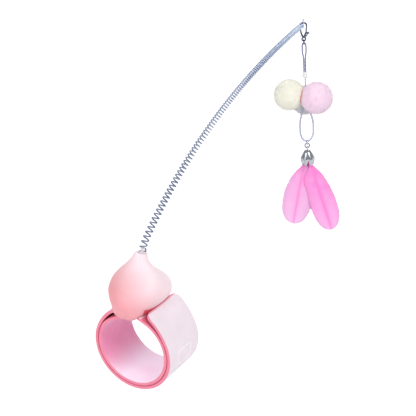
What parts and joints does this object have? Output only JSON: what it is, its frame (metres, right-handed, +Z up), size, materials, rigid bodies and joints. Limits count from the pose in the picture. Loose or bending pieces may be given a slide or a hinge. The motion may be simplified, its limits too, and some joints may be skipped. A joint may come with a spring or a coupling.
{
  "type": "cat teaser wand",
  "caption": "Finger-worn cat teaser: a wound flexible band with a heart-shaped holder, a springy coil wand, and a lure of pompoms and feathers hung from a clasp.",
  "frame": {"origin": "centre of the wound band, on its axis, half way along its width", "axes": "+Z up, towards the heart and the wand; +Y along the band's axis, away from the camera side; the wand leaves the heart towards +X +Y"},
  "size_m": [0.0927, 0.1689, 0.1951],
  "materials": {
    "band": "matte",
    "heart": "satin",
    "strip": "satin",
    "bush": "satin",
    "plug": "satin",
    "spring_wire": "satin",
    "clasp": "polished",
    "light_ring": "polished",
    "upper_cord": "matte",
    "lower_cord": "matte",
    "sleeve": "satin",
    "tie_thread": "matte",
    "cream_fluff": "matte",
    "pink_fluff": "matte",
    "white_fluff": "matte",
    "silver_cap": "polished",
    "root_glue": "satin",
    "feather_pink": "matte",
    "feather_deep": "matte",
    "feather_pale": "matte",
    "quill": "satin"
  },
  "bodies": {
    "band": {"band_sleeve": "band", "steel_strip": "strip", "heart_holder": "heart", "tip_bush": "bush"},
    "plug": {"wand_plug": "plug"},
    "wand": {"wand_spring": "spring_wire", "tip_eye": "spring_wire"},
    "clasp": {"clasp_body": "clasp", "gate_pin": "clasp"},
    "gate": {"clasp_gate": "clasp"},
    "clasp_link": {"clasp_link": "clasp"},
    "hanger": {"upper_cord": "upper_cord", "cord_sleeve": "sleeve", "knot_bead": "sleeve", "hanger_thread": "upper_cord", "tie_knot": "tie_thread", "pompom_cream": "cream_fluff", "pompom_pink": "pink_fluff", "pompom_white": "white_fluff", "lower_cord": "lower_cord"},
    "loop_link": {"loop_link": "light_ring"},
    "cap_link": {"cap_link": "clasp"},
    "cap": {"petal_cap": "silver_cap", "root_plug": "root_glue", "feather_left": "feather_pink", "feather_right": "feather_pink", "feather_middle": "feather_deep", "feather_rear": "feather_pale", "quill_left": "quill", "quill_right": "quill", "quill_middle": "quill", "quill_rear": "quill"}
  },
  "joints": [
    {"name": "wand_swivel", "type": "hinge", "parent": "band", "child": "plug", "pos_m": [0.00085, 0.00235, 0.0569], "axis": [0.0885, 0.2432, 0.9659], "continuous": true},
    {"name": "wand_bend", "type": "hinge", "parent": "plug", "child": "wand", "pos_m": [0.00715, 0.01965, 0.08292], "axis": [-0.9397, 0.342, 0], "range_deg": [-25, 40], "stiffness_Nm_per_rad": 0.035, "springref_deg": -8.94, "deforming": ["wand_spring"]},
    {"name": "clasp_swing", "type": "hinge", "parent": "wand", "child": "clasp", "pos_m": [0.04688, 0.13189, 0.16466], "axis": [-0.5299, 0.848, 0], "range_deg": [-45, 45]},
    {"name": "gate_open", "type": "hinge", "parent": "clasp", "child": "gate", "pos_m": [0.04821, 0.13272, 0.15849], "axis": [0.5299, -0.848, 0], "range_deg": [0, 25], "stiffness_Nm_per_rad": 0.0002},
    {"name": "link_swing", "type": "hinge", "parent": "clasp", "child": "clasp_link", "pos_m": [0.04688, 0.13189, 0.15398], "axis": [0.848, 0.5299, 0], "range_deg": [-50, 50]},
    {"name": "hanger_swing", "type": "hinge", "parent": "clasp_link", "child": "hanger", "pos_m": [0.04688, 0.13189, 0.15183], "axis": [-0.5299, 0.848, 0], "range_deg": [-45, 45]},
    {"name": "loop_swing", "type": "hinge", "parent": "hanger", "child": "loop_link", "pos_m": [0.04688, 0.13189, 0.08683], "axis": [0.848, 0.5299, 0], "range_deg": [-50, 50]},
    {"name": "chain_swing", "type": "hinge", "parent": "loop_link", "child": "cap_link", "pos_m": [0.04688, 0.13189, 0.08473], "axis": [-0.5299, 0.848, 0], "range_deg": [-45, 45]},
    {"name": "cap_swing", "type": "hinge", "parent": "cap_link", "child": "cap", "pos_m": [0.04688, 0.13189, 0.08248], "axis": [0.848, 0.5299, 0], "range_deg": [-45, 45]}
  ]
}
